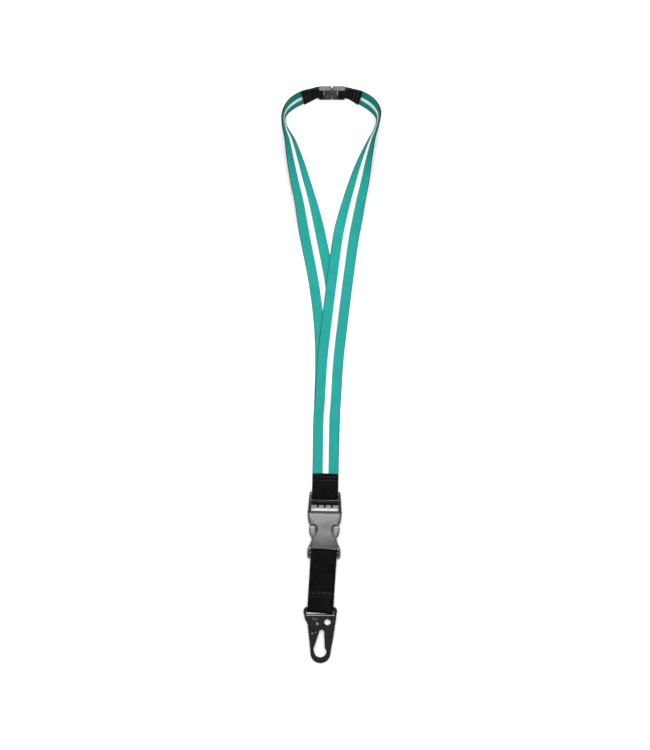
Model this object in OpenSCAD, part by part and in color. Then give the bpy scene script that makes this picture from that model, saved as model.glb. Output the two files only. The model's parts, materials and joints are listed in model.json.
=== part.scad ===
// Neck lanyard laid flat: striped webbing loop, breakaway clip, side-release buckle and snap hook.
// Millimetres. X runs across the lanyard, Y runs from the hook up to the neck clip, Z is up.
// The origin is on the resting plane, under the middle of the lanyard.

/* [Webbing] */
// Width of the webbing
web_w = 25; // [24:0.5:25]
// Thickness of the webbing
web_t = 1.2; // [1:0.1:1.2]
// Thickness of the sewing thread
thread_d = 0.5; // [0.3:0.1:0.6]

/* [Breakaway clip] */
// Height of the clip across the webbing
clip_h = 30; // [30:0.5:32]
// Thickness of the clip
clip_t = 4.2; // [4.2:0.1:4.6]
// Lean of the standing clip away from the neck opening
clip_lean = 4.4; // [3:0.2:6]

/* [Side-release buckle] */
// Half width of the buckle at its mouth
mouth_x = 16.5; // [16.2:0.1:17]
// Thickness of the buckle housing
housing_h = 10.4; // [10.2:0.1:11]
// Wall thickness of the buckle housing
housing_wall = 1.6; // [1.4:0.1:1.7]
// Turn of the buckle on the resting plane
buckle_turn = -1.2; // [-2:0.1:0]

/* [Snap hook] */
// Thickness of the hook's sheet steel
sheet_t = 1.2; // [1:0.1:1.3]
// Thickness of the folded hook
hook_h = 6.4; // [6.4:0.1:6.8]
// Radius of the round hole through the hook
eye_r = 3.3; // [3:0.1:3.4]

/* [Hidden] */
$fn = 48;
clear = 0.1;                       // gap between webbing and what it touches
black = [0.07, 0.07, 0.075];
teal = [0.05, 0.55, 0.48];
grey = [0.23, 0.23, 0.24];
steel = [0.10, 0.10, 0.11];

// Clip frame: x along the webbing, y outward, z up the standing webbing
clip_at = [0.55, 268, 0.2];
clip_gap = 0.5;                    // half the gap between the two closed halves
clip_half = 12.15;                 // how far each half reaches from the middle
clip_bar_r = 1.3;
socket_bar_x = -10.6;
plug_bar_x = 7.9;
clip_rail = (clip_h - web_w) / 2 - 0.2;
clip_loop_r = clip_bar_r + clear + web_t;  // outside of the webbing round a bar of the clip
tongue_len = 3.4;
tongue_t = 1.6;

// Buckle frame: y up the lanyard from the housing's mouth, z from the resting plane
buckle_at = [-6.4, -129.3, 0];
buckle_z = housing_h / 2;
bar_r = 1.6;                       // round webbing bars of the buckle
male_bar_y = 14.6;
male_top_y = 19.7;
housing_bar_y = -38.6;
slot_x = 13.1;                     // half width of every webbing slot
prong_x = 10.9;
prong_y = -2.6;
prong_r = 1.2;

// Short strap frame: from the housing's bar to the hook's bar
short_turn = -3.6;
short_len = 54.2;
hook_bar_r = 1.7;
hook_bar_y = -2.1;
hook_slot_y = -7.2;                // lower edge of the hook's webbing slot
hook_z = 4;
short_slack = 0.65;                // extra room round both bars, because the strap lies a little askew
short_at = on_buckle([0, housing_bar_y, buckle_z]);
hook_at = [short_at[0] + short_len * sin(short_turn), short_at[1] - short_len * cos(short_turn) - hook_bar_y,
           hook_z];

// Hook frame: the webbing bar is at [0, hook_bar_y], the nose points to -y
pivot = [-2.8, -15.6];
rivet_r = 1.8;
rivet_bore_r = 1.25;
gate_shoulder_r = 8.2;             // where the gate comes out from between the plates
gate_tip_r = 26;                   // where the gate meets the nose
gate_t = 3.6;                      // thickness of the gate's eye, between the plates
anchor = [-6.4, -10.6];
nose_at = [0.1, -43.8];
nose_r = 9.5;

// ---- Routes of the neck webbing ----
// Each stop is [x, y, height of the lower edge, tilt]: tilt 0 lies flat, 90 stands on its inner edge
turn_r_male = bar_r + clear + web_t / 2;
turn_r_clip = clip_bar_r + clear + web_t / 2;
clip_tilt = 90 - clip_lean;
right_route = concat(
    [on_tab(27.5, web_t + clear), on_tab(37, web_t + clear), on_tab(48, web_t + clear)],
    [[-4.8, -42, 1.3, 0], [-3.4, -22, 1.3, 0], [-1, 16, 1.3, 0], [3.4, 55, 1.3, 0], [8.2, 93, 1.3, 0],
     [13.4, 131, 1, 2], [17.2, 150, 0.2, 14], [21.4, 168, 0.1, 30], [26.4, 187, 0.1, 41],
     [31.4, 206, 0.1, 57], [37.6, 225, 0.1, 74], [41.8, 235, 0.1, 81], [44.6, 244.5, 0.1, 84],
     [43.8, 251.4, 0.3, 79], [38, 258.6, 1, 73], [28, 264.8, 2, 73]],
    [clip_stop(19, 0.2, 1), clip_stop(13, 1.6, 0.2), clip_stop(plug_bar_x, turn_r_clip, 0)]);
left_route = concat(
    [on_tab(male_bar_y, buckle_z - turn_r_male - web_t / 2), on_tab(20, 1.4), on_tab(27.5, 0),
     on_tab(37, 0), on_tab(48, 0)],
    [[-4.4, -42, 0, 0], [-3.9, -22, 0, 0], [-3, 16, 0, 0], [-4.7, 55, 0, 0], [-9.6, 93, 0, 0],
     [-17, 131, 0, 4], [-20.8, 150, 0, 18], [-24.6, 168, 0, 33], [-29.6, 187, 0, 41],
     [-34.2, 206, 0, 51], [-39, 225, 0, 66], [-43, 235, 0.1, 76], [-45.6, 244.5, 0.1, 85],
     [-43.8, 252.5, 0.3, 84], [-37.4, 259.6, 1, 77], [-27.6, 265.2, 2, 75]],
    [clip_stop(-19, 0.4, 1), clip_stop(-14.5, 1.7, 0.2), clip_stop(socket_bar_x, turn_r_clip, 0)]);
smooth_steps = 3;                  // rings for each stretch between two stops
flap_stops = 3;                    // stretches that the folded end of the webbing covers

// ---- Vectors and placed points ----
function unit(v) = v / norm(v);
function mix(a, b, u) = a + (b - a) * u;
function arc(centre, r, from, to, steps) =
    [for (i = [0:steps]) centre + r * [cos(mix(from, to, i / steps)), sin(mix(from, to, i / steps))]];
function mirrored(points) = [for (i = [len(points) - 1:-1:0]) [-points[i][0], points[i][1]]];
function turned(p, angle) = [p[0] * cos(angle) - p[1] * sin(angle), p[0] * sin(angle) + p[1] * cos(angle), p[2]];
function on_buckle(p) = buckle_at + turned(p, buckle_turn);
function on_tab(y, lift) = let (p = on_buckle([0, y, 0])) [p[0], p[1], lift, 0];
function clip_stop(x, y, drop) = [
    clip_at[0] + x,
    clip_at[1] + y * cos(clip_lean) + clip_h / 2 * sin(clip_lean) - drop,
    clip_at[2] + clip_h / 2 * cos(clip_lean) - y * sin(clip_lean) - web_w / 2 * sin(clip_tilt)
        - web_t / 2 * cos(clip_tilt),
    clip_tilt - drop * 5];

// ---- Webbing rings: [centre, across, face], where face points out of the striped side ----
function stop_at(stops, i) = stops[max(0, min(len(stops) - 1, i))];
function curve(stops, i, u) =
    let (a = stop_at(stops, i - 1), b = stop_at(stops, i),
         c = stop_at(stops, i + 1), d = stop_at(stops, i + 2))
    0.5 * ((2 * b) + (c - a) * u + (2 * a - 5 * b + 4 * c - d) * u * u + (3 * b - a - 3 * c + d) * u * u * u);
function smooth(stops) = concat(
    [for (i = [0:len(stops) - 2]) for (s = [0:smooth_steps - 1]) curve(stops, i, s / smooth_steps)],
    [stops[len(stops) - 1]]);
function centre_of(s) = [s[0], s[1], max(0, s[2]) + web_w / 2 * sin(s[3]) + web_t / 2 * cos(s[3])];
function ring(centre, heading, tilt, side) =
    let (out = side * unit([heading[1], -heading[0], 0]), across = out * cos(tilt) + [0, 0, sin(tilt)])
    [centre, across, unit(side * cross(across, heading))];
function rings(route, side, first, last) =
    let (s = smooth(route), n = len(s) - 1, c = [for (p = s) centre_of(p)])
    [for (i = [0:n]) let (heading = i == 0 ? first : i == n ? last : unit(c[i + 1] - c[i - 1]))
        ring(c[i], heading, s[i][3], side)];
// Half a turn round a bar of which the centre is r from the ring, then the flap that lies back on it
function turn(end, ahead, r, steps) = [for (i = [1:steps]) let (a = 180 * i / steps)
    [end[0] + end[2] * r * (1 - cos(a)) + ahead * r * sin(a), end[1], unit(end[2] * cos(a) - ahead * sin(a))]];
function flap(under, gap_near, gap_far) = let (n = len(under) - 1)
    [for (i = [1:n]) let (u = min(1, 1.6 * i / n))
        [under[i][0] + under[i][2] * mix(gap_near, gap_far, u * u * (3 - 2 * u)), under[i][1], -under[i][2]]];
function backwards(list) = [for (i = [len(list) - 1:-1:0]) list[i]];
function first_of(list, n) = [for (i = [0:n - 1]) list[i]];
function last_of(list, n) = [for (i = [0:n - 1]) list[len(list) - 1 - i]];

flap_rings = flap_stops * smooth_steps + 1;
sewn_rings = [flap_rings - 4, flap_rings - 3];   // rings of a flap that carry its two rows of stitches
lap = web_t + clear;
up_tab = unit(on_buckle([0, 1, 0]) - on_buckle([0, 0, 0]));
turn_steps = 6;
right_rings = rings(right_route, 1, up_tab, [-1, 0, 0]);
left_rings = rings(left_route, -1, up_tab, [1, 0, 0]);
right_end = last_of(right_rings, flap_rings);
left_end = last_of(left_rings, flap_rings);
left_start = first_of(left_rings, flap_rings);
right_flap = flap(right_end, 2 * turn_r_clip, lap);
left_flap = flap(left_end, 2 * turn_r_clip, lap);
tab_flap = flap(left_start, 2 * turn_r_male, 2 * lap);

module webbing(list, side) {
    n = len(list);
    corners = [[1, 1], [-1, 1], [-1, -1], [1, -1]];
    points = [for (r = list) for (k = corners)
        r[0] + r[1] * k[0] * web_w / 2 + r[2] * k[1] * web_t / 2];
    walls = [for (i = [0:n - 2]) for (k = [0:3])
        let (a = 4 * i + k, b = 4 * i + (k + 1) % 4) each [[a, b, b + 4], [a, b + 4, a + 4]]];
    ends = [[3, 2, 1], [3, 1, 0], [4 * n - 4, 4 * n - 3, 4 * n - 2], [4 * n - 4, 4 * n - 2, 4 * n - 1]];
    faces = concat(walls, ends);
    polyhedron(points, side > 0 ? faces : [for (f = faces) [f[2], f[1], f[0]]]);
}

// A row of stitches across the webbing, proud of the plain black face
module stitch_row(ring, count) {
    pitch = web_w / count;
    for (i = [0:count - 1]) {
        at = ring[0] + ring[1] * (i - (count - 1) / 2) * pitch - ring[2] * (web_t / 2 + thread_d / 2 + 0.02);
        ahead = cross(ring[1], ring[2]);
        multmatrix([for (k = [0:2]) [ring[2][k], ahead[k], ring[1][k], at[k]]])
            cylinder(d = thread_d, h = pitch * 0.7, center = true, $fn = 16);
    }
}
module stitch_rows(list) {
    color(black) for (r = list) stitch_row(r, 8);
}

// ---- Neck webbing and its sewing ----
module neck_strap_left() {
    color(teal) webbing(concat(
        backwards(tab_flap), backwards(turn(left_start[0], -up_tab, turn_r_male, turn_steps)), left_rings,
        turn(left_end[0], [1, 0, 0], turn_r_clip, turn_steps), left_flap), 1);
}
module neck_strap_right() {
    color(teal) webbing(concat(
        right_rings, turn(right_end[0], [-1, 0, 0], turn_r_clip, turn_steps), right_flap), -1);
}
module clip_stitches_left() {
    stitch_rows([for (k = sewn_rings) left_flap[k]]);
}
module clip_stitches_right() {
    stitch_rows([for (k = sewn_rings) right_flap[k]]);
}
module tab_stitches() {
    stitch_rows([for (k = sewn_rings) tab_flap[k]]);
}

// ---- Breakaway clip ----
module on_clip() {
    translate(clip_at) rotate([-clip_lean, 0, 0]) children();
}
module clip_block(x0, x1, z0, z1, thickness) {
    translate([x0, -thickness / 2, z0]) cube([x1 - x0, thickness, z1 - z0]);
}
module clip_frame(x0, x1, slot0, slot1, bar_x) {
    difference() {
        clip_block(x0, x1, 0, clip_h, clip_t);
        clip_block(slot0, slot1, clip_rail, clip_h - clip_rail, clip_t + 1);
        // notch at the outer corners, where the two halves meet
        for (z = [0, clip_h]) translate([0, 0, z]) rotate([0, 45, 0])
            cube([1.8, clip_t + 1, 1.8], center = true);
    }
    translate([bar_x, 0, clip_rail / 2]) cylinder(r = clip_bar_r, h = clip_h - clip_rail);
}
latch_len = 4.6;
latch_t = 1.8;
latch_z = [7, 20];                 // lower edges of the two latch arms
latch_w = 3;
module breakaway_socket() {
    color(grey) on_clip() difference() {
        clip_frame(-clip_half, -clip_gap, -clip_half - 1, socket_bar_x + clip_loop_r + 0.2, socket_bar_x);
        for (z = latch_z) {
            clip_block(-clip_gap - latch_len - 0.6, 0, z - 0.3, z + latch_w + 0.3, latch_t + 0.4);
            // window that the arm's barb drops into
            translate([-4.6, -clip_t / 2 - 1, z - 0.3]) cube([1.6, clip_t / 2 + 1, latch_w + 0.6]);
        }
        clip_block(-tongue_len - 0.2, 0, clip_rail - 0.5, clip_h - clip_rail + 0.5, tongue_t + 0.3);
        // moulded recess on the inner face
        translate([-6, -clip_t / 2 - 1, 12]) cube([3.4, 1.4, 6]);
    }
}
module breakaway_plug() {
    color(grey) on_clip() difference() {
        union() {
            clip_frame(clip_gap, clip_half, plug_bar_x - clip_loop_r - 0.4, clip_half + 1, plug_bar_x);
            // tongue that closes the gap between the two halves
            clip_block(-tongue_len, clip_gap + 0.5, clip_rail - 0.3, clip_h - clip_rail + 0.3, tongue_t);
        }
        for (z = latch_z) clip_block(-tongue_len - 1, 2.4, z - 0.1, z + latch_w + 0.1, latch_t + 0.2);
    }
}
// Two springy arms of the plug, each with a barb on its inner face
module breakaway_latches() {
    color(grey) on_clip() for (z = latch_z) {
        clip_block(-clip_gap - latch_len, 2.3, z, z + latch_w, latch_t);
        translate([0, 0, z]) linear_extrude(latch_w)
            polygon([[-3.1, -latch_t / 2 + 0.1], [-3.1, -1.5], [-4.4, -latch_t / 2 + 0.1]]);
    }
}

// ---- Side-release buckle ----
module on_buckle_frame() {
    translate(buckle_at) rotate([0, 0, buckle_turn]) children();
}
module upright(z0, z1) {
    translate([0, 0, z0]) linear_extrude(z1 - z0) children();
}
male_h = 5.2;
module male_rail() {
    upright(buckle_z - male_h / 2, buckle_z + male_h / 2) polygon(concat(
        [[slot_x, 0.2], [16.2, 0.2], [15.6, 8]],
        arc([slot_x + 0.2, male_top_y - 1.4], 1.4, 0, 90, 6), [[slot_x, male_top_y]]));
}
// Bar that grips adjustable webbing: two rows of teeth with a groove between them
module ladder_bar() {
    rotate([90, 0, 90]) linear_extrude(2 * slot_x + 0.4, center = true) polygon(
        [[4.3, buckle_z - 1.8], [4.3, buckle_z + 2], [6.9, buckle_z + 2.2], [8.2, buckle_z + 0.4],
         [9.4, buckle_z + 1.7], [10.2, buckle_z + 1.8], [11.1, buckle_z + 0.6], [11.1, buckle_z - 1.8]]);
}
module buckle_male_frame() {
    tooth_pitch = 6.6;
    color(black) on_buckle_frame() {
        difference() {
            union() {
                for (s = [0, 1]) mirror([s, 0, 0]) male_rail();
                // plate that closes the housing's mouth
                translate([-14.4, -3.2, 2.4]) cube([28.8, 4.2, housing_h - 4.8]);
                ladder_bar();
                // centre guide
                translate([-1.8, -24, buckle_z - 1.8]) cube([3.6, 21.4, 3.6]);
            }
            // slot behind the ladder bar
            translate([-slot_x, 1, -1]) cube([2 * slot_x, 3.3, housing_h + 2]);
            // notches between the ladder's teeth
            for (i = [-1:1]) translate([i * tooth_pitch, 3, buckle_z + 2.4]) rotate([-90, 0, 0])
                cylinder(r = 1.3, h = 8.2, $fn = 4);
            // seats of the prongs
            for (s = [-1, 1]) translate([s * prong_x, prong_y, 0]) {
                cylinder(r = prong_r + 0.06, h = housing_h);
                translate([-1.8, -3, 0]) cube([3.6, 2.6, housing_h]);
            }
        }
        translate([-slot_x - 0.3, male_bar_y, buckle_z]) rotate([0, 90, 0])
            cylinder(r = bar_r, h = 2 * slot_x + 0.6);
    }
}
// Springy arm with the finger pad that shows in the housing's side window
module prong() {
    z0 = 2.3;
    h = housing_h - 2 * z0;
    upright(z0, z0 + h) polygon(
        [[9.9, prong_y], [11.9, prong_y], [11.6, -12.6], [13.7, -12.6], [14.5, -14], [14.7, -17],
         [14.3, -20.5], [13, -23.4], [11.6, -24.6], [8.8, -23.6], [8.1, -20], [8.1, -13]]);
    translate([prong_x, prong_y, z0]) cylinder(r = prong_r, h = h);
}
module buckle_prong_left() {
    color(black) on_buckle_frame() mirror([1, 0, 0]) prong();
}
module buckle_prong_right() {
    color(black) on_buckle_frame() prong();
}
hollow_right = [[mouth_x - housing_wall, 1], [14.8, -4], [13.9, -9], [12.7, -12.2], [15.5, -12.6], [15.5, -26]];
window_at = [12.2, -16.6];
window_r = 4.2;
housing_right = concat(
    [[mouth_x, 0], [mouth_x - 0.1, -4], [15.6, -9], [14.4, -12]],
    arc(window_at, window_r, 70, 215, 8),
    [[12.1, -25.6], [13.3, -29.4], [15, -32.6], [16, -35.4], [16.2, -38]],
    arc([13.2, -41.6], 3, 0, -70, 5));
// Side profile: level from the mouth to the waist, then curved down towards the webbing slot
housing_end_y = -47;
housing_level_y = -13;
housing_drop = 2.6;
module housing_side() {
    steps = 10;
    top = [for (i = [0:steps]) let (u = i / steps)
        [mix(housing_level_y, housing_end_y, u), housing_h - housing_drop * u * u]];
    bottom = [for (i = [steps:-1:0]) [top[i][0], housing_h - top[i][1]]];
    rotate([90, 0, 90]) linear_extrude(40, center = true)
        polygon(concat([[0, 0], [0, housing_h]], top, bottom));
}
module buckle_housing() {
    inside = housing_wall + 0.1;
    color(black) on_buckle_frame() {
        difference() {
            intersection() {
                upright(0, housing_h) polygon(concat(housing_right, mirrored(housing_right)));
                housing_side();
            }
            // hollow for the plug, open at the mouth and at the side windows
            upright(inside, housing_h - inside) polygon(
                concat(hollow_right, mirrored(hollow_right)));
            // webbing slot
            translate([-slot_x, -60, -1]) cube([2 * slot_x, 26, housing_h + 2]);
        }
        translate([-slot_x - 0.5, housing_bar_y, buckle_z]) rotate([0, 90, 0])
            cylinder(r = bar_r, h = 2 * slot_x + 1);
    }
}

// ---- Short strap between the buckle and the hook ----
short_slope = atan((buckle_z - hook_z) / short_len);
short_bar_gap = short_len / cos(short_slope);
sewn_y = [-38.2, -45.6];            // ends of the lapped, sewn stretch
module on_short() {
    translate(short_at) rotate([0, 0, short_turn]) rotate([short_slope, 0, 0]) children();
}
function strip_side(path, i) =
    let (a = unit(path[i] - path[max(0, i - 1)] + (i == 0 ? path[1] - path[0] : [0, 0])),
         b = unit(i == len(path) - 1 ? a : path[i + 1] - path[i]), m = unit(a + b))
    [-m[1], m[0]] / max(0.5, m * a);
function strip(path, t) = concat(
    [for (i = [0:len(path) - 1]) path[i] + strip_side(path, i) * t / 2],
    [for (i = [len(path) - 1:-1:0]) path[i] - strip_side(path, i) * t / 2]);
short_turn_r = [bar_r + clear + short_slack + web_t / 2, hook_bar_r + clear + short_slack * 1.4 + web_t / 2];
short_path = concat(
    [[sewn_y[0], lap], [sewn_y[0] - 3, lap], [sewn_y[1], lap + 0.1]],
    arc([-short_bar_gap, 0], short_turn_r[1], 80, 280, 12),
    [[sewn_y[1], -lap - 0.1], [sewn_y[0] - 3, -lap], [sewn_y[0], -lap], [-16, -lap - 0.5]],
    arc([0, 0], short_turn_r[0], -95, 95, 10),
    [[-16, 1.2], [-28, 0.2], [sewn_y[0], 0], [sewn_y[1] + 1, 0]]);
module across_strap(width) {
    rotate([90, 0, 90]) linear_extrude(width, center = true) children();
}
module short_strap() {
    color(black) on_short() across_strap(web_w) polygon(strip(short_path, web_t));
}
module short_strap_stitches() {
    pitch = web_w / 8;
    color(black) on_short() for (y = [sewn_y[0] - 1.2, sewn_y[0] - 4.2]) for (i = [0:7]) for (s = [-1, 1])
        translate([(i - 3.5) * pitch, y, s * (lap + web_t / 2 + thread_d / 2 + 0.03)]) rotate([0, 90, 0])
            cylinder(d = thread_d, h = pitch * 0.7, center = true, $fn = 16);
}

// ---- Snap hook ----
module on_hook() {
    translate(hook_at) children();
}
module slab(h) {
    linear_extrude(h, center = true) children();
}
function hook_outline(inset) = concat(
    arc([12, -4.2], 4.1 - inset, 90, -30, 8),
    [[15.1 - inset, -11], [14.1 - inset, -18], [12.2 - inset, -30.3], [10.1 - inset, -41]],
    arc(nose_at, nose_r - inset, -8, -172, 24),
    [[-10.3 + inset, -33.2], [-11.2 + inset, -25], [-12 + inset, -16], [-14.7 + inset, -11.2]],
    arc([-12.1, -4.2], 4.1 - inset, 212, 90, 8));
opening_outline = concat(
    arc([1.4, -23.6], 2.3, 165, 0, 10), [[4.3, -39.2], [5.3, -40.5]],
    arc([-0.1, -42.8], 6, 20, -150, 24), [[-6.8, -40.4]]);
module round_at(p, r, h) {
    translate([p[0], p[1], -h / 2]) cylinder(r = r, h = h);
}
// The sheet steel side that the gate closes, between two radii about its pivot
module gate_side(inner_r, outer_r, h) {
    difference() {
        intersection() {
            slab(h) polygon(concat([[pivot[0], pivot[1] - 1.5], [-20, pivot[1] - 1.5], [-20, -46], [-3, -46]],
                                   [[0.6, pivot[1] - 4]]));
            round_at(pivot, outer_r, h + 1);
        }
        round_at(pivot, inner_r, h + 2);
    }
}
module hook_body() {
    color(steel) on_hook() {
        difference() {
            slab(hook_h) polygon(hook_outline(0));
            // webbing slot
            translate([-13.2, hook_slot_y, -hook_h]) cube([26.4, 12, 2 * hook_h]);
            slab(hook_h + 1) polygon(opening_outline);
            round_at([6.8, -14.7], eye_r, hook_h + 1);
            round_at(pivot, rivet_r, hook_h + 1);
            round_at(anchor, 0.8, hook_h + 1);
            // space between the two plates, closed by the fold along the right side and the nose
            slab(hook_h - 2 * sheet_t) polygon(concat(
                [[-20, hook_slot_y - 1], [13.6, hook_slot_y - 1], [13.9, -11], [12.9, -18], [11, -30.3], [9, -41]],
                arc(nose_at, nose_r - sheet_t, -8, -172, 24), [[-20, -41]]));
            gate_side(gate_shoulder_r, gate_tip_r + 0.2, hook_h + 1);
        }
        translate([-13.4, hook_bar_y, 0]) rotate([0, 90, 0]) cylinder(r = hook_bar_r, h = 26.8);
    }
}
module hook_gate() {
    wall = 0.9;
    color(steel) on_hook() {
        difference() {
            intersection() {
                gate_side(gate_shoulder_r + 0.15, gate_tip_r, hook_h);
                slab(hook_h) polygon(hook_outline(0));
            }
            slab(hook_h + 1) polygon(opening_outline);
            // hollow of the folded gate, open to the inside of the hook
            translate([1.3, 0, 0]) slab(hook_h - 2 * wall) polygon(concat(
                [[-11.8, -10], [-11.2, -25], [-10.3, -33.2], [-9.4, -50]], [[6, -50], [6, -10]]));
        }
        // two ears of the gate's eye, between the plates
        difference() {
            union() {
                round_at(pivot, 4.2, gate_t);
                intersection() {
                    slab(gate_t) polygon([[-6.6, -14], [-10.2, -20.4], [-9.6, -24.2], [-1.7, -24.2], [1.2, -14]]);
                    round_at(pivot, gate_shoulder_r + 0.6, gate_t);
                }
            }
            round_at(pivot, rivet_r + 0.06, gate_t + 1);
            slab(gate_t - 2 * wall) polygon([[-9, -26], [-9, -8], [4, -8], [4, -26]]);
            slab(gate_t + 1) polygon(opening_outline);
        }
    }
}
// Hollow rivet that the gate turns on
module gate_rivet() {
    head = 0.45;
    color(steel) on_hook() difference() {
        union() {
            round_at(pivot, rivet_r - 0.01, hook_h + head);
            for (s = [-1, 1]) translate([pivot[0], pivot[1], s * (hook_h + head + 0.02) / 2])
                cylinder(r = rivet_r + 0.6, h = head, center = true);
        }
        round_at(pivot, rivet_bore_r, hook_h + 4);
    }
}
module gate_spring() {
    coil_h = 1.2;
    wire = 0.5;
    color(grey) on_hook() {
        difference() {
            round_at(pivot, 2.5, coil_h);
            round_at(pivot, 1.85, coil_h + 1);
        }
        // one leg bears on the anchor pin, the other on the gate
        translate([pivot[0] - 2.2, pivot[1] + 0.5, 0]) rotate([-90, 0, 4.2])
            cylinder(d = wire, h = 5.2, $fn = 16);
        translate([pivot[0] - 2.2, pivot[1] - 0.5, 0]) rotate([90, 0, -14])
            cylinder(d = wire, h = 9, $fn = 16);
    }
}
module spring_anchor_pin() {
    color(steel) on_hook() round_at(anchor, 0.78, hook_h);
}

neck_strap_left();
neck_strap_right();
clip_stitches_left();
clip_stitches_right();
tab_stitches();
breakaway_socket();
breakaway_plug();
breakaway_latches();
buckle_male_frame();
buckle_prong_left();
buckle_prong_right();
buckle_housing();
short_strap();
short_strap_stitches();
hook_body();
hook_gate();
gate_rivet();
gate_spring();
spring_anchor_pin();
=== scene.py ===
import json
import math

import bmesh
import bpy
from mathutils import Matrix, Vector


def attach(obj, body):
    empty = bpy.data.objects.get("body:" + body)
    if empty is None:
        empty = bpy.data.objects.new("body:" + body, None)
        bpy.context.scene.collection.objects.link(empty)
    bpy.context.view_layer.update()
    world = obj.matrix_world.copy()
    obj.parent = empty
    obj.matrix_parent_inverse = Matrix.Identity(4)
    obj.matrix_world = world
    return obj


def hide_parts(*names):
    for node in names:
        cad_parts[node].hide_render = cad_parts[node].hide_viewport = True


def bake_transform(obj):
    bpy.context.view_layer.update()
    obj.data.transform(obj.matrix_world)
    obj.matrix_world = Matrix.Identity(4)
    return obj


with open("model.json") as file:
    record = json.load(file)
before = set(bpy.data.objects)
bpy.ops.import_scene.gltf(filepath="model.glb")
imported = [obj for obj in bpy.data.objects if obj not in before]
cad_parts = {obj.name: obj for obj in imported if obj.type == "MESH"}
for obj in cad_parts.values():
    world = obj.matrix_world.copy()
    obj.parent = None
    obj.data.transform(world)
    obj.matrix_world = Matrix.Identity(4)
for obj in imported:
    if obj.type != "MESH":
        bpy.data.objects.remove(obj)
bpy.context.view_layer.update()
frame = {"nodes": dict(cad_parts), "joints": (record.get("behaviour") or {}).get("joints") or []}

# Everything is in metres, in the CAD's frame: X across the lanyard, Y up towards the neck clip, Z up.
joints = {joint["name"]: joint for joint in frame["joints"]}

# ---------------------------------------------------------------- driving values
WEB_WIDTH = 0.025
WEB_THICK = 0.0012
STRIPE_WIDTH = 0.0055
THREAD = 0.0005
CLEAR = 0.0001                     # gap between webbing and what it touches
LAP = WEB_THICK + CLEAR            # one layer of webbing lying on another
CLIP_BAR_RADIUS = 0.0013
BUCKLE_BAR_RADIUS = 0.0016         # of the webbing bars of both buckle halves
HOOK_BAR_RADIUS = 0.0017

CLIP_AT = Vector((0.00055, 0.268, 0.0002))
CLIP_LEAN = math.radians(4.4)
CLIP_HEIGHT = 0.030
CLIP_BAR_TURN = CLIP_BAR_RADIUS + CLEAR + WEB_THICK / 2
SOCKET_BAR = -0.0106
PLUG_BAR = 0.0079

MALE_BAR = Vector(joints["buckle_tilt"]["pos_m"])
MALE_BAR_TURN = BUCKLE_BAR_RADIUS + CLEAR + WEB_THICK / 2
HOUSING_BAR = Vector(joints["strap_tilt"]["pos_m"])
HOOK_BAR = Vector(joints["hook_swing"]["pos_m"])
GATE_PIVOT = Vector(joints["gate_open"]["pos_m"])
LOWER_TEETH = (0.0075, 0.0118)     # how far below the webbing bar the ladder's lower row of teeth lies
BUCKLE_UP = -Vector(joints["buckle_release"]["axis"])

CAMERA_HEIGHT = 1.2
CAMERA_AIM = Vector((-0.0061, 0.0019, 0))
VIEW_HEIGHT = 0.72                 # how much of the floor the camera's long side takes in
SENSOR = 36.0

SMOOTH_STEPS = 9                   # rings for each stretch between two stops
FLAP_STRETCHES = 3                 # stretches that the folded end of the webbing covers
STITCHES_ACROSS = 8
SEWN = (7 / 9, 8 / 9)              # how far along a flap its two rows of stitches lie


# ---------------------------------------------------------------- stage
def make_camera():
    data = bpy.data.cameras.new("camera")
    data.sensor_width = SENSOR
    data.lens = SENSOR * CAMERA_HEIGHT / VIEW_HEIGHT
    camera = bpy.data.objects.new("camera", data)
    camera.location = CAMERA_AIM + Vector((0, 0, CAMERA_HEIGHT))
    bpy.context.scene.collection.objects.link(camera)
    bpy.context.scene.camera = camera


def make_light(name, power, size, location, target):
    data = bpy.data.lights.new(name, "AREA")
    data.shape = "RECTANGLE"
    data.size = size[0]
    data.size_y = size[1]
    data.energy = power
    light = bpy.data.objects.new(name, data)
    light.location = location
    light.rotation_mode = "QUATERNION"
    light.rotation_quaternion = (Vector(target) - Vector(location)).to_track_quat("-Z", "Y")
    bpy.context.scene.collection.objects.link(light)


def make_studio():
    scene = bpy.context.scene
    scene.view_settings.view_transform = "Standard"
    world = bpy.data.worlds.new("studio")
    world.use_nodes = True
    world.node_tree.nodes["Background"].inputs["Color"].default_value = (1, 1, 1, 1)
    world.node_tree.nodes["Background"].inputs["Strength"].default_value = 0.3
    scene.world = world
    make_light("softbox_above", 30, (1.2, 0.8), (0, 0.17, 1.6), (0, 0.02, 0))
    make_light("softbox_top", 9, (1.2, 0.5), (0, 1.3, 0.8), (0, 0.05, 0))
    bpy.ops.mesh.primitive_plane_add(size=4)
    floor = bpy.context.object
    floor.name = "floor"
    floor.data.materials.append(floor_paper())


# ---------------------------------------------------------------- node helpers
def new_material(name):
    made = bpy.data.materials.new(name)
    made.use_nodes = True
    tree = made.node_tree
    return made, tree, tree.nodes["Principled BSDF"]


def add(tree, kind, inputs=None, **settings):
    """A shader node, with its settings, and its inputs set to a value or linked to a socket."""
    made = tree.nodes.new(kind)
    for key, value in settings.items():
        setattr(made, key, value)
    feed(tree, made, inputs or {})
    return made


def feed(tree, node, inputs):
    for key, value in inputs.items():
        if isinstance(value, bpy.types.NodeSocket):
            tree.links.new(value, node.inputs[key])
        else:
            node.inputs[key].default_value = value


def calc(tree, operation, a, b=0.0, c=0.0):
    return add(tree, "ShaderNodeMath", {0: a, 1: b, 2: c}, operation=operation).outputs[0]


def mix(tree, factor, a, b, blend="MIX"):
    made = add(tree, "ShaderNodeMix", {0: factor, 6: a, 7: b}, data_type="RGBA", blend_type=blend)
    return made.outputs[2]


def spread(tree, value, low, high, to_low, to_high):
    inputs = {"Value": value, "From Min": low, "From Max": high, "To Min": to_low, "To Max": to_high}
    return add(tree, "ShaderNodeMapRange", inputs).outputs["Result"]


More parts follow.
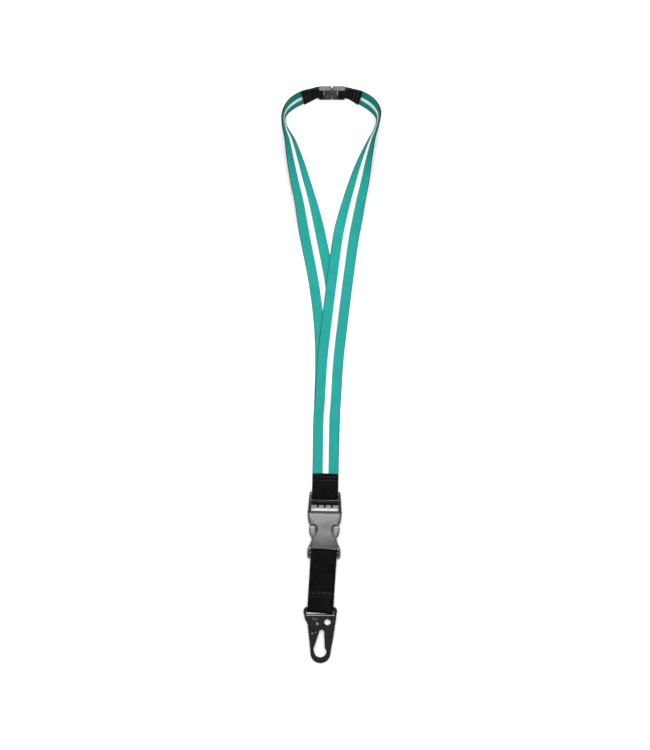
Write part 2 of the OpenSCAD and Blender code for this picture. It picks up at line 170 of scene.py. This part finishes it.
def speckle(tree, scale, detail=3.0, roughness=0.55):
    """Noise of the place on the object, from 0 to 1; scale is in features per metre."""
    place = add(tree, "ShaderNodeTexCoord").outputs["Object"]
    inputs = {"Vector": place, "Scale": scale, "Detail": detail, "Roughness": roughness}
    return add(tree, "ShaderNodeTexNoise", inputs).outputs["Fac"]


def bump(tree, shader, height, distance, strength=1.0):
    made = add(tree, "ShaderNodeBump", {"Height": height, "Distance": distance, "Strength": strength})
    tree.links.new(made.outputs["Normal"], shader.inputs["Normal"])


def grey(level):
    return (level, level, level, 1)


# ---------------------------------------------------------------- materials
TEAL = (0.024, 0.355, 0.315, 1)
TEAL_SHADED_ON_EDGE = (0.002, 0.255, 0.215, 1)      # painted shade: darker where the webbing stands on edge
WHITE = (1.0, 1.0, 0.98, 1)
YARN_BLACK = (0.004, 0.004, 0.0045, 1)
YARN_PITCH = 0.00085               # one warp yarn across the webbing
YARN_FLOAT = 0.0021                # how far a warp yarn runs over the weft


def floor_paper():
    made, tree, shader = new_material("floor_paper")
    tone = spread(tree, speckle(tree, 6), 0, 1, 0.93, 0.95)
    feed(tree, shader, {"Base Color": tone, "Roughness": 0.9, "Specular IOR Level": 0.1})
    return made


def weave(tree, shader, colour, depth):
    """Staggered warp yarns over cross ribs, on the webbing's own map of metres across and along."""
    flat = add(tree, "ShaderNodeUVMap", uv_map="weave").outputs["UV"]
    axes = add(tree, "ShaderNodeSeparateXYZ", {0: flat}).outputs
    turned = add(tree, "ShaderNodeCombineXYZ", {"X": axes["Y"], "Y": axes["X"]}).outputs[0]
    yarns = add(tree, "ShaderNodeTexBrick", {
        "Vector": turned, "Color1": grey(1.0), "Color2": grey(0.90), "Mortar": grey(0.6), "Scale": 1.0,
        "Mortar Size": YARN_PITCH * 0.16, "Mortar Smooth": 1.0, "Bias": 0.0,
        "Brick Width": YARN_FLOAT, "Row Height": YARN_PITCH}, offset=0.5)
    rib = calc(tree, "SINE", calc(tree, "MULTIPLY", axes["Y"], 4 * math.pi / YARN_FLOAT))
    height = calc(tree, "MULTIPLY_ADD", rib, 0.25, calc(tree, "SUBTRACT", 1.0, yarns.outputs["Fac"]))
    bump(tree, shader, height, depth)
    worn = spread(tree, speckle(tree, 55), 0.3, 0.7, 0.92, 1.05)
    shaded = mix(tree, 1.0, colour(tree, axes), yarns.outputs["Color"], "MULTIPLY")
    shaded = mix(tree, 1.0, shaded, worn, "MULTIPLY")
    dull = spread(tree, speckle(tree, 900), 0, 1, 0.66, 0.84)
    feed(tree, shader, {"Base Color": shaded, "Roughness": dull})


def striped(tree, axes):
    """Teal with a white stripe down the middle, black yarns at both selvedges, and painted shade that darkens
    the teal where the webbing stands on edge.
    """
    off_centre = calc(tree, "ABSOLUTE", axes["X"])
    wander = calc(tree, "MULTIPLY", calc(tree, "SINE", calc(tree, "MULTIPLY", axes["Y"], 1900.0)), 0.00008)
    in_stripe = calc(tree, "LESS_THAN", calc(tree, "ADD", off_centre, wander), STRIPE_WIDTH / 2)
    selvedge = calc(tree, "GREATER_THAN", off_centre, WEB_WIDTH / 2 - YARN_PITCH * 0.5)
    step = calc(tree, "SINE", calc(tree, "MULTIPLY", axes["Y"], 2 * math.pi / YARN_FLOAT))
    dotted = calc(tree, "MULTIPLY", selvedge, calc(tree, "GREATER_THAN", step, -0.2))
    # Painted shade: the teal is darkened as the webbing's face turns from lying flat to standing on edge.
    facing = add(tree, "ShaderNodeSeparateXYZ", {0: add(tree, "ShaderNodeNewGeometry").outputs["Normal"]})
    flat_lit_share = spread(tree, calc(tree, "ABSOLUTE", facing.outputs["Z"]), 0.3, 0.9, 0, 1)
    teal = mix(tree, flat_lit_share, TEAL_SHADED_ON_EDGE, TEAL)
    return mix(tree, dotted, mix(tree, in_stripe, teal, WHITE), YARN_BLACK)


def plain_black(tree, axes):
    return mix(tree, spread(tree, speckle(tree, 200), 0.35, 0.7, 0, 1), YARN_BLACK, grey(0.0085))


def webbing_material(name, colour, sheen):
    made, tree, shader = new_material(name)
    weave(tree, shader, colour, 0.00016)
    feed(tree, shader, {"Sheen Weight": sheen, "Sheen Roughness": 0.4, "Specular IOR Level": 0.02})
    return made


def cut_end_material():
    """The webbing's end, cut with a hot knife: dark, hard and a little shiny."""
    made, tree, shader = new_material("webbing_cut_end")
    melt = speckle(tree, 1800, 4)
    bump(tree, shader, melt, 0.0002)
    feed(tree, shader, {
        "Base Color": mix(tree, melt, YARN_BLACK, grey(0.05)),
        "Roughness": spread(tree, melt, 0, 1, 0.4, 0.7)})
    return made


def thread_material():
    made, tree, shader = new_material("sewing_thread")
    place = add(tree, "ShaderNodeTexCoord").outputs["Object"]
    plies = add(tree, "ShaderNodeTexWave", {"Vector": place, "Scale": 900.0, "Distortion": 1.5},
                bands_direction="DIAGONAL").outputs["Fac"]
    bump(tree, shader, plies, 0.00008)
    feed(tree, shader, {
        "Base Color": mix(tree, plies, grey(0.006), grey(0.014)),
        "Roughness": spread(tree, plies, 0, 1, 0.6, 0.45),
        "Sheen Weight": 0.04})
    return made


def moulded_material(name, tone, worn_tone, rough, gloss, skin=0.0):
    """Moulded acetal: satin, with a fine spark-eroded texture and edges rubbed lighter."""
    made, tree, shader = new_material(name)
    grain = speckle(tree, 3200, 2)
    cloud = speckle(tree, 90, 4)
    edge = spread(tree, add(tree, "ShaderNodeNewGeometry").outputs["Pointiness"], 0.52, 0.62, 0, 0.8)
    base = mix(tree, spread(tree, cloud, 0.35, 0.65, 0, 1), grey(tone), grey(tone * 1.3))
    shade = spread(tree, cloud, 0.3, 0.7, rough - 0.05, rough + 0.06)
    bump(tree, shader, grain, 0.00004, 0.5)
    feed(tree, shader, {
        "Base Color": mix(tree, edge, base, grey(worn_tone)),
        "Roughness": calc(tree, "MULTIPLY_ADD", grain, 0.06, shade),
        "Specular IOR Level": gloss,
        "Coat Weight": skin,
        "Coat Roughness": 0.2})
    return made


def coated_steel(name, wear):
    """Black coated sheet steel: a faint orange peel, and bare metal where the edges rub."""
    made, tree, shader = new_material(name)
    peel = speckle(tree, 1500, 3)
    scuff = speckle(tree, 420, 5, 0.7)
    edge = spread(tree, add(tree, "ShaderNodeNewGeometry").outputs["Pointiness"], 0.54, 0.66, 0, 1)
    bare = calc(tree, "MULTIPLY", edge, spread(tree, scuff, 0.45, 0.62, 0, wear))
    bump(tree, shader, peel, 0.00002, 0.25)
    feed(tree, shader, {
        "Base Color": mix(tree, bare, mix(tree, scuff, grey(0.006), grey(0.009)), grey(0.4)),
        "Metallic": calc(tree, "MULTIPLY", bare, 0.9),
        "Roughness": spread(tree, scuff, 0.3, 0.7, 0.42, 0.48),
        "Specular IOR Level": 0.10})
    return made


def bare_steel(name, tone, rough):
    """Plated or freshly sheared steel with fine lines left by the tool."""
    made, tree, shader = new_material(name)
    lines = speckle(tree, 2600, 4, 0.7)
    bump(tree, shader, lines, 0.00003, 0.5)
    feed(tree, shader, {
        "Base Color": mix(tree, lines, grey(tone * 0.75), grey(tone)), "Metallic": 1.0,
        "Roughness": spread(tree, lines, 0.2, 0.8, rough, rough + 0.15)})
    return made


# ---------------------------------------------------------------- webbing rings
# A ring is (centre, across, face): face is the way out of the striped side.
# Each stop of a route is x, y, height of the lower edge, tilt in degrees (0 lies flat, 90 stands on edge).
def on_tab(beyond_bar, lift):
    """A stop in line with the buckle, that far beyond the bar that the webbing is sewn round."""
    place = MALE_BAR + BUCKLE_UP * beyond_bar
    return (place.x, place.y, lift, 0)


def on_clip(x, out, up):
    """A point of the standing breakaway clip: along it, out of its outer face and up from its foot."""
    lean = Matrix.Rotation(-CLIP_LEAN, 3, "X")
    return CLIP_AT + lean @ Vector((x, out, up))


def clip_stop(x, out, drop):
    """A stop by the clip: pulled that far towards the hook, and leaning 5 degrees more for each mm of it."""
    tilt = math.pi / 2 - CLIP_LEAN
    middle = on_clip(x, out, 0) + Vector((0, math.sin(CLIP_LEAN), math.cos(CLIP_LEAN))) * (CLIP_HEIGHT / 2)
    foot = middle.z - WEB_WIDTH / 2 * math.sin(tilt) - WEB_THICK / 2 * math.cos(tilt)
    return (middle.x, middle.y - drop, foot, math.degrees(tilt) - drop * 5000)


RIGHT_ROUTE = [
    on_tab(0.0129, 0.0013), on_tab(0.0224, 0.0013), on_tab(0.0334, 0.0013),
    (-0.0048, -0.042, 0.0013, 0), (-0.0034, -0.022, 0.0013, 0), (-0.001, 0.016, 0.0013, 0),
    (0.0034, 0.055, 0.0013, 0), (0.0082, 0.093, 0.0013, 0), (0.0134, 0.131, 0.001, 2),
    (0.0172, 0.150, 0.0002, 14), (0.0214, 0.168, 0.0001, 30), (0.0264, 0.187, 0.0001, 41),
    (0.0314, 0.206, 0.0001, 57), (0.0376, 0.225, 0.0001, 74), (0.0418, 0.235, 0.0001, 81),
    (0.0446, 0.2445, 0.0001, 84), (0.0438, 0.2514, 0.0003, 79), (0.038, 0.2586, 0.001, 73),
    (0.028, 0.2648, 0.002, 73),
    clip_stop(0.019, 0.0002, 0.001), clip_stop(0.013, 0.0016, 0.0002), clip_stop(PLUG_BAR, CLIP_BAR_TURN, 0)]
LEFT_ROUTE = [
    on_tab(0, MALE_BAR.z - MALE_BAR_TURN - WEB_THICK / 2), on_tab(0.0054, 0.0014), on_tab(0.0129, 0),
    on_tab(0.0224, 0), on_tab(0.0334, 0),
    (-0.0044, -0.042, 0, 0), (-0.0039, -0.022, 0, 0), (-0.003, 0.016, 0, 0), (-0.0047, 0.055, 0, 0),
    (-0.0096, 0.093, 0, 0), (-0.017, 0.131, 0, 4), (-0.0208, 0.150, 0, 18), (-0.0246, 0.168, 0, 33),
    (-0.0296, 0.187, 0, 41), (-0.0342, 0.206, 0, 51), (-0.039, 0.225, 0, 66), (-0.043, 0.235, 0.0001, 76),
    (-0.0456, 0.2445, 0.0001, 85), (-0.0438, 0.2525, 0.0003, 84), (-0.0374, 0.2596, 0.001, 77),
    (-0.0276, 0.2652, 0.002, 75),
    clip_stop(-0.019, 0.0004, 0.001), clip_stop(-0.0145, 0.0017, 0.0002),
    clip_stop(SOCKET_BAR, CLIP_BAR_TURN, 0)]


def between(stops, i, u):
    """A point of the smooth curve through the stops, at the share u from stop i to the next."""
    a, b, c, d = (stops[max(0, min(len(stops) - 1, k))] for k in (i - 1, i, i + 1, i + 2))
    return [0.5 * (2 * q + (r - p) * u + (2 * p - 5 * q + 4 * r - s) * u ** 2
                   + (3 * q - p - 3 * r + s) * u ** 3)
            for p, q, r, s in zip(a, b, c, d)]


def rings_along(route, side, first, last):
    """Rings of a strap on the left (-1) or right (1) of the loop, starting and ending in those directions."""
    stops = [between(route, i, step / SMOOTH_STEPS)
             for i in range(len(route) - 1) for step in range(SMOOTH_STEPS)]
    stops.append(list(route[-1]))
    centres = []
    for x, y, low, tilt in stops:
        rise = WEB_WIDTH / 2 * math.sin(math.radians(tilt)) + WEB_THICK / 2 * math.cos(math.radians(tilt))
        centres.append(Vector((x, y, max(0, low) + rise)))
    rings = []
    for i, centre in enumerate(centres):
        if i == 0:
            ahead = first
        elif i == len(centres) - 1:
            ahead = last
        else:
            ahead = (centres[i + 1] - centres[i - 1]).normalized()
        tilt = math.radians(stops[i][3])
        level = side * Vector((ahead.y, -ahead.x, 0)).normalized()
        across = level * math.cos(tilt) + Vector((0, 0, math.sin(tilt)))
        rings.append((centre, across, (side * across.cross(ahead)).normalized()))
    return rings


def turn_round_bar(end, ahead, radius, steps=14):
    """Half a turn, from the ring that meets the bar."""
    turned = []
    for i in range(1, steps + 1):
        angle = math.pi * i / steps
        centre = end[0] + end[2] * radius * (1 - math.cos(angle)) + ahead * radius * math.sin(angle)
        turned.append((centre, end[1], (end[2] * math.cos(angle) - ahead * math.sin(angle)).normalized()))
    return turned


def flap_over(under, gap_near, gap_far):
    """The end of the webbing, folded back over the rings under it and sewn down where the gap has closed."""
    count = len(under) - 1
    closing = 1.6                  # the gap closes over the first 1 / 1.6 of the flap
    folded = []
    for i in range(1, count + 1):
        share = min(1, closing * i / count)
        gap = gap_near + (gap_far - gap_near) * share * share * (3 - 2 * share)
        folded.append((under[i][0] + under[i][2] * gap, under[i][1], -under[i][2]))
    return folded


def sewn_rings(flap):
    return [flap[round(share * len(flap)) - 1] for share in SEWN]


# ---------------------------------------------------------------- mesh helpers
def place_mesh(name, mesh, materials, body=None):
    piece = bpy.data.objects.new(name, mesh)
    bpy.context.scene.collection.objects.link(piece)
    for one in materials:
        mesh.materials.append(one)
    if body:
        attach(piece, body)
    return piece


def stand_for(piece, body, slot, *nodes):
    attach(piece, body)
    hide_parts(*nodes)
    return piece


def section_points():
    """The webbing's cut section, once round: (across, out of the face) and whether it belongs to the face."""
    flat = WEB_WIDTH / 2 - WEB_THICK / 2
    columns = 10
    edge_steps = 4
    points = [(flat * (2 * i / columns - 1), WEB_THICK / 2) for i in range(columns + 1)]
    for i in range(1, edge_steps):
        angle = math.pi / 2 - math.pi * i / edge_steps
        points.append((flat + WEB_THICK / 2 * math.cos(angle), WEB_THICK / 2 * math.sin(angle)))
    return points + [(-x, -out) for x, out in points], columns


def frayed(at_end, across, face, x):
    """How far a point of a cut end strays along the webbing; nothing between the ends."""
    if not at_end:
        return Vector((0, 0, 0))
    bow = 0.0004 * (2 * x / WEB_WIDTH) ** 2
    fray = 0.00012 * math.sin(x * 2300) + 0.00008 * math.sin(x * 4100 + 1)
    return across.cross(face) * (bow + fray)


def ribbon(name, rings, materials):
    """Webbing swept through the rings, with a map of metres across and along it called weave."""
    section, columns = section_points()
    size = len(section)
    mesh = bmesh.new()
    weave_map = mesh.loops.layers.uv.new("weave")
    loops = []
    along = [0.0]
    for i, (centre, across, face) in enumerate(rings):
        at_end = i in (0, len(rings) - 1)
        loops.append([mesh.verts.new(centre + across * x + face * out + frayed(at_end, across, face, x))
                      for x, out in section])
        if i:
            along.append(along[-1] + (centre - rings[i - 1][0]).length)
    for i in range(len(rings) - 1):
        for k in range(size):
            after = (k + 1) % size
            quad = mesh.faces.new((loops[i][k], loops[i][after], loops[i + 1][after], loops[i + 1][k]))
            quad.smooth = True
            quad.material_index = 0 if k <= columns or k == size - 1 else 1
            spots = ((k, i), (after, i), (after, i + 1), (k, i + 1))
            for corner, (column, row) in zip(quad.loops, spots):
                corner[weave_map].uv = (section[column][0], along[row])
    for cap in (list(reversed(loops[0])), loops[-1]):
        mesh.faces.new(cap).material_index = 2
    bmesh.ops.recalc_face_normals(mesh, faces=mesh.faces)
    data = bpy.data.meshes.new(name)
    mesh.to_mesh(data)
    mesh.free()
    return place_mesh(name, data, materials), along[-1]


def thread_loop(mesh, middle, across, out, ahead, length):
    """One stitch: a short thread that rises out of the webbing and dives back into it."""
    steps = 8
    sides = 8
    radius = THREAD / 2
    hoops = []
    for i in range(steps + 1):
        share = 2 * i / steps - 1
        centre = middle + across * share * length / 2 - out * (THREAD * 0.9 * share ** 4)
        thin = radius * (1 - 0.35 * share ** 6)
        hoops.append([
            mesh.verts.new(centre + ahead * thin * math.cos(a) + out * thin * math.sin(a))
            for a in (2 * math.pi * k / sides for k in range(sides))])
    for i in range(steps):
        for k in range(sides):
            after = (k + 1) % sides
            mesh.faces.new((hoops[i][k], hoops[i][after], hoops[i + 1][after], hoops[i + 1][k])).smooth = True
    mesh.faces.new(list(reversed(hoops[0])))
    mesh.faces.new(hoops[-1])


def stitches(name, rows, materials, body, node):
    """Rows of stitches; a row is (middle, across, out of the webbing)."""
    mesh = bmesh.new()
    pitch = WEB_WIDTH / STITCHES_ACROSS
    for middle, across, out in rows:
        ahead = across.cross(out)
        start = middle + out * (WEB_THICK / 2 + THREAD / 2 - 0.00005)
        for i in range(STITCHES_ACROSS):
            spot = start + across * (i - (STITCHES_ACROSS - 1) / 2) * pitch
            thread_loop(mesh, spot, across, out, ahead, pitch * 0.72)
    bmesh.ops.recalc_face_normals(mesh, faces=mesh.faces)
    data = bpy.data.meshes.new(name)
    mesh.to_mesh(data)
    mesh.free()
    return stand_for(place_mesh(name, data, materials), body, "thread", node)


def stamped_mark(name, place, half, turn, width, material, body):
    """A shallow crater with a low lip on a plate's face, drawn out by half a stroke's length each way."""
    mesh = bmesh.new()
    sides = 16
    along = Vector((math.cos(turn), math.sin(turn), 0))
    aside = Vector((-along.y, along.x, 0))
    rings = []
    for share, height in ((0.45, 0.00001), (0.75, 0.00008), (1.0, -0.00005)):
        angles = [2 * math.pi * (k + 0.5) / sides for k in range(sides)]
        rings.append([mesh.verts.new(
            place + along * (math.cos(a) * width * share + math.copysign(half, math.cos(a)))
            + aside * math.sin(a) * width * share + Vector((0, 0, height))) for a in angles])
    mesh.faces.new(rings[0]).smooth = True
    for inner, outer in zip(rings, rings[1:]):
        for k in range(sides):
            after = (k + 1) % sides
            mesh.faces.new((inner[k], outer[k], outer[after], inner[after])).smooth = True
    data = bpy.data.meshes.new(name)
    mesh.to_mesh(data)
    mesh.free()
    piece = place_mesh(name, data, [material], body)


def roll_rim(mesh, up, above, depth, steps, ends=1.0):
    """Rounds the rim of the faces that look up and lie above that height.

    Each step is how far further in the rim goes, and its share of the whole depth that the rim rises there.
    Rim edges that run across the piece go in by only the share "ends" of each step.
    """
    flats = [face for face in mesh.faces
             if face.normal.z * up > 0.9 and face.calc_center_median().z * up > above]
    region = bmesh.ops.triangulate(mesh, faces=flats)["faces"]

    def rim_loops():
        inside = set(region)
        return [loop for face in region for loop in face.loops
                if any(other not in inside for other in loop.edge.link_faces)]

    def step_in(distance):
        """Where each rim corner goes: square to its two edges, or less far at a sharp corner."""
        squares = {}
        for loop in rim_loops():
            along = loop.link_loop_next.vert.co - loop.vert.co
            square = Vector((-along.y, along.x, 0)).normalized() * up
            square *= ends + (1 - ends) * abs(square.x)
            for corner in (loop.vert, loop.link_loop_next.vert):
                squares.setdefault(corner, []).append(square)
        moves = {}
        for corner, pair in squares.items():
            total = sum(pair, Vector((0, 0, 0)))
            moves[corner] = total / max(0.9, total.dot(pair[0])) * distance
        return moves

    for corner in {loop.vert for loop in rim_loops()}:
        corner.co.z -= up * depth
    for distance, share in steps:
        bmesh.ops.inset_region(mesh, faces=region, thickness=0, use_boundary=True)
        for corner, move in step_in(distance).items():
            corner.co += move + Vector((0, 0, up * depth * share))


def softened(node, name, materials, width, segments=3, angle=28, rim=None, paint=None):
    """A copy of a CAD node with its hard edges rolled over by that width, if any.

    rim is (middle height, least height over it) and roll_rim's settings, and paint picks a face's material.
    """
    data = frame["nodes"][node].data.copy()
    data.name = name
    data.materials.clear()
    mesh = bmesh.new()
    mesh.from_mesh(data)
    bmesh.ops.remove_doubles(mesh, verts=mesh.verts, dist=1e-6)
    bmesh.ops.dissolve_limit(mesh, angle_limit=math.radians(1), verts=mesh.verts, edges=mesh.edges)
    if rim:
        middle, over, *settings = rim
        roll_rim(mesh, 1, middle + over, *settings)
        roll_rim(mesh, -1, over - middle, *settings)
    if paint:
        for face in mesh.faces:
            face.material_index = paint(face)
    mesh.to_mesh(data)
    mesh.free()
    data.shade_smooth()
    data.set_sharp_from_angle(angle=math.radians(angle))
    piece = place_mesh(name, data, materials)
    if not width:
        return piece
    roll = piece.modifiers.new("rolled_edges", "BEVEL")
    roll.width = width
    roll.segments = segments
    roll.limit_method = "ANGLE"
    roll.angle_limit = math.radians(angle)
    even = piece.modifiers.new("even_shading", "WEIGHTED_NORMAL")
    even.keep_sharp = True
    return piece


def cad_piece(node, body, slot, materials, width, **more):
    return stand_for(softened(node, node + "_shell", materials, width, **more), body, slot, node)


# ---------------------------------------------------------------- the pieces
def make_neck_straps(webbing, thread):
    left = rings_along(LEFT_ROUTE, -1, BUCKLE_UP, Vector((1, 0, 0)))
    right = rings_along(RIGHT_ROUTE, 1, BUCKLE_UP, Vector((-1, 0, 0)))
    flap_count = FLAP_STRETCHES * SMOOTH_STEPS + 1
    left_end = left[:-flap_count - 1:-1]
    right_end = right[:-flap_count - 1:-1]
    tab_start = left[:flap_count]
    left_flap = flap_over(left_end, 2 * CLIP_BAR_TURN, LAP)
    right_flap = flap_over(right_end, 2 * CLIP_BAR_TURN, LAP)
    tab_flap = flap_over(tab_start, 2 * MALE_BAR_TURN, 2 * LAP)
    left_rings = (tab_flap[::-1] + turn_round_bar(tab_start[0], -BUCKLE_UP, MALE_BAR_TURN)[::-1] + left
                  + turn_round_bar(left_end[0], Vector((1, 0, 0)), CLIP_BAR_TURN) + left_flap)
    right_rings = right + turn_round_bar(right_end[0], Vector((-1, 0, 0)), CLIP_BAR_TURN) + right_flap
    left_strap, left_length = ribbon("neck_webbing_left", left_rings, webbing)
    right_strap, right_length = ribbon("neck_webbing_right", right_rings, webbing)
    stand_for(left_strap, "neck", "striped_webbing", "neck_strap_left")
    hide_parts("neck_strap_right")
    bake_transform(right_strap)
    for name, flap, body in (("clip_stitches_left", left_flap, "neck"),
                             ("clip_stitches_right", right_flap, "clip_plug"),
                             ("tab_stitches", tab_flap, "neck")):
        rows = [(centre, across, -face) for centre, across, face in sewn_rings(flap)]
        stitches(name + "_thread", rows, thread, body, name)


def make_short_strap(webbing, thread):
    slack = 0.00065                # extra radius, so that the loops lie loosely round the bars
    bar_turn = BUCKLE_BAR_RADIUS + CLEAR + slack + WEB_THICK / 2
    hook_turn = HOOK_BAR_RADIUS + CLEAR + slack * 1.4 + WEB_THICK / 2
    sewn_from = -0.0382
    sewn_to = -0.0456
    span = (HOOK_BAR - HOUSING_BAR).length

    def arc(x, y, radius, start, stop, steps):
        angles = [math.radians(start + (stop - start) * i / steps) for i in range(steps + 1)]
        return [(x + radius * math.cos(a), y + radius * math.sin(a)) for a in angles]

    path = ([(sewn_from, LAP), (sewn_from - 0.003, LAP), (sewn_to, LAP + 0.0001)]
            + arc(-span, 0, hook_turn, 80, 280, 18)
            + [(sewn_to, -LAP - 0.0001), (sewn_from - 0.003, -LAP), (sewn_from, -LAP)]
            + [(-0.016, -LAP - 0.0005)]
            + arc(0, 0, bar_turn, -95, 95, 16)
            + [(-0.016, 0.0012), (-0.028, 0.0002), (sewn_from, 0), (sewn_to + 0.001, 0)])
    down = (HOOK_BAR - HOUSING_BAR).normalized()
    across = Vector((-down.y, down.x, 0)).normalized()
    up = down.cross(across).normalized()
    if up.z < 0:
        up = -up
    places = [HOUSING_BAR - down * y + up * z for y, z in path]
    rings = []
    for i, place in enumerate(places):
        ahead = (places[min(i + 1, len(places) - 1)] - places[max(i - 1, 0)]).normalized()
        rings.append((place, across, across.cross(ahead).normalized()))
    strap, length = ribbon("short_webbing", rings, webbing)
    stand_for(strap, "hook_strap", "striped_webbing", "short_strap")
    rows = []
    for y in (sewn_from - 0.0012, sewn_from - 0.0042):
        for side in (1, -1):
            rows.append((HOUSING_BAR - down * y + up * side * LAP, across, up * side))
    stitches("short_strap_thread", rows, thread, "hook_strap", "short_strap_stitches")


def make_clip(plastic):
    def dull_shaded_walls(face):
        """The upright walls, which get a duller finish and, as painted shade, a darker base colour than the
        top.
        """
        return 1 if abs(face.normal.z) < 0.6 else 0

    cad_piece("breakaway_socket", "neck", "clip_plastic", plastic, 0.0003, paint=dull_shaded_walls)
    cad_piece("breakaway_plug", "clip_plug", "clip_plastic", plastic, 0.0003, paint=dull_shaded_walls)
    cad_piece("breakaway_latches", "clip_plug", "clip_plastic", plastic[:1], 0.0002)


def make_buckle(plastic, frame_plastic):
    shell_rim = (MALE_BAR.z, 0.002, 0.0023, ((0.0004, 0.45), (0.0007, 0.33), (0.0010, 0.22)), 0.3)
    pad_rim = (MALE_BAR.z, 0.002, 0.0010, ((0.0003, 0.5), (0.0004, 0.35), (0.0005, 0.15)))

    def lit_teeth_tops(face):
        """The tops of the ladder's lower row of teeth, given a lighter plastic as painted highlight."""
        middle = face.calc_center_median() - MALE_BAR
        return 1 if face.normal.z > 0.95 and LOWER_TEETH[0] < middle.dot(-BUCKLE_UP) < LOWER_TEETH[1] else 0

    cad_piece("buckle_male_frame", "buckle_male", "buckle_plastic", frame_plastic, 0.0005, paint=lit_teeth_tops)
    cad_piece("buckle_prong_left", "prong_left", "buckle_plastic", plastic, 0.0002, rim=pad_rim)
    cad_piece("buckle_prong_right", "prong_right", "buckle_plastic", plastic, 0.0002, rim=pad_rim)
    cad_piece("buckle_housing", "housing", "buckle_plastic", plastic, 0.0002, rim=shell_rim)


def make_hook(steel, rivet, spring):
    slot_edge = HOOK_BAR.y - 0.0051
    plate_rim = (HOOK_BAR.z, 0.0028, 0.0005, ((0.00015, 0.5), (0.0002, 0.35), (0.0003, 0.15)))

    def sheared(face):
        """Bare metal along the lower edge of the webbing slot."""
        middle = face.calc_center_median()
        level = abs(middle.x - HOOK_BAR.x) < 0.013 and -0.0008 < middle.y - slot_edge < 0.0003
        return 1 if level and face.normal.y > 0.15 else 0

    def bored(face):
        """Bright metal down the bore of the rivet."""
        off_axis = face.calc_center_median() - GATE_PIVOT
        return 1 if off_axis.xy.length < 0.0014 and abs(face.normal.z) < 0.5 else 0

    def on_plate(node, x, y):
        top = max(corner.co.z for corner in frame["nodes"][node].data.vertices)
        return Vector((HOOK_BAR.x + x, HOOK_BAR.y + y, top))

    for i in range(3):
        place = on_plate("hook_body", -0.0068 + 0.0016 * i, -0.0084 - 0.0005 * i)
        stamped_mark(f"plate_mark_{i}", place, 0.0007, math.radians(52), 0.0003, steel[1], "hook")
    place = on_plate("hook_gate", -0.0042, -0.0216)
    stamped_mark("gate_mark", place, 0.0008, math.radians(40), 0.0003, steel[1], "gate")
    place = on_plate("hook_gate", -0.0077, -0.0228)
    stamped_mark("gate_dimple", place, 0, 0, 0.0008, steel[1], "gate")
    cad_piece("hook_body", "hook", "black_steel", steel, 0.0002, rim=plate_rim, paint=sheared)
    cad_piece("hook_gate", "gate", "black_steel", steel[:1], 0.0002, rim=plate_rim)
    cad_piece("gate_rivet", "hook", "rivet_steel", rivet, 0.00012, paint=bored)
    coil = softened("gate_spring", "gate_spring_wire", spring, 0)
    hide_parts("gate_spring")
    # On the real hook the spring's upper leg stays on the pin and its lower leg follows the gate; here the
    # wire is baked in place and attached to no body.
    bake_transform(coil)
    cad_piece("spring_anchor_pin", "hook", "rivet_steel", rivet[:1], 0.0002)


make_camera()
make_studio()
webbing = [webbing_material("webbing_striped_face", striped, 0.03),
           webbing_material("webbing_black_back", plain_black, 0.0),
           cut_end_material()]
thread = [thread_material()]
make_neck_straps(webbing, thread)
make_short_strap(webbing, thread)
make_clip([moulded_material("clip_acetal", 0.03, 0.14, 0.30, 1.0, 0.8),
           # Painted shade: the upright walls' copy of the clip plastic has a darker base tone than the top's;
           # its higher roughness and low specular are a duller finish.
           moulded_material("clip_side_acetal_shaded", 0.012, 0.04, 0.6, 0.1)])
make_buckle([moulded_material("buckle_acetal", 0.012, 0.03, 0.27, 1.0, 1.0)],
            # Painted shade: the male frame's plastic has a darker base tone than the housing's; its lower
            # specular and higher roughness are its own finish.
            [moulded_material("buckle_frame_acetal_shaded", 0.006, 0.07, 0.34, 0.12),
             # Painted highlight: the lighter plastic for the up-facing tops of the ladder's lower teeth.
             moulded_material("teeth_painted_highlight", 0.1, 0.6, 0.4, 0.8)])
make_hook([coated_steel("hook_black_coat", 0.35), bare_steel("sheared_edge", 0.22, 0.35)],
          [coated_steel("rivet_black_coat", 0.5), bare_steel("rivet_bore", 0.95, 0.6)],
          [bare_steel("spring_wire", 0.5, 0.25)])
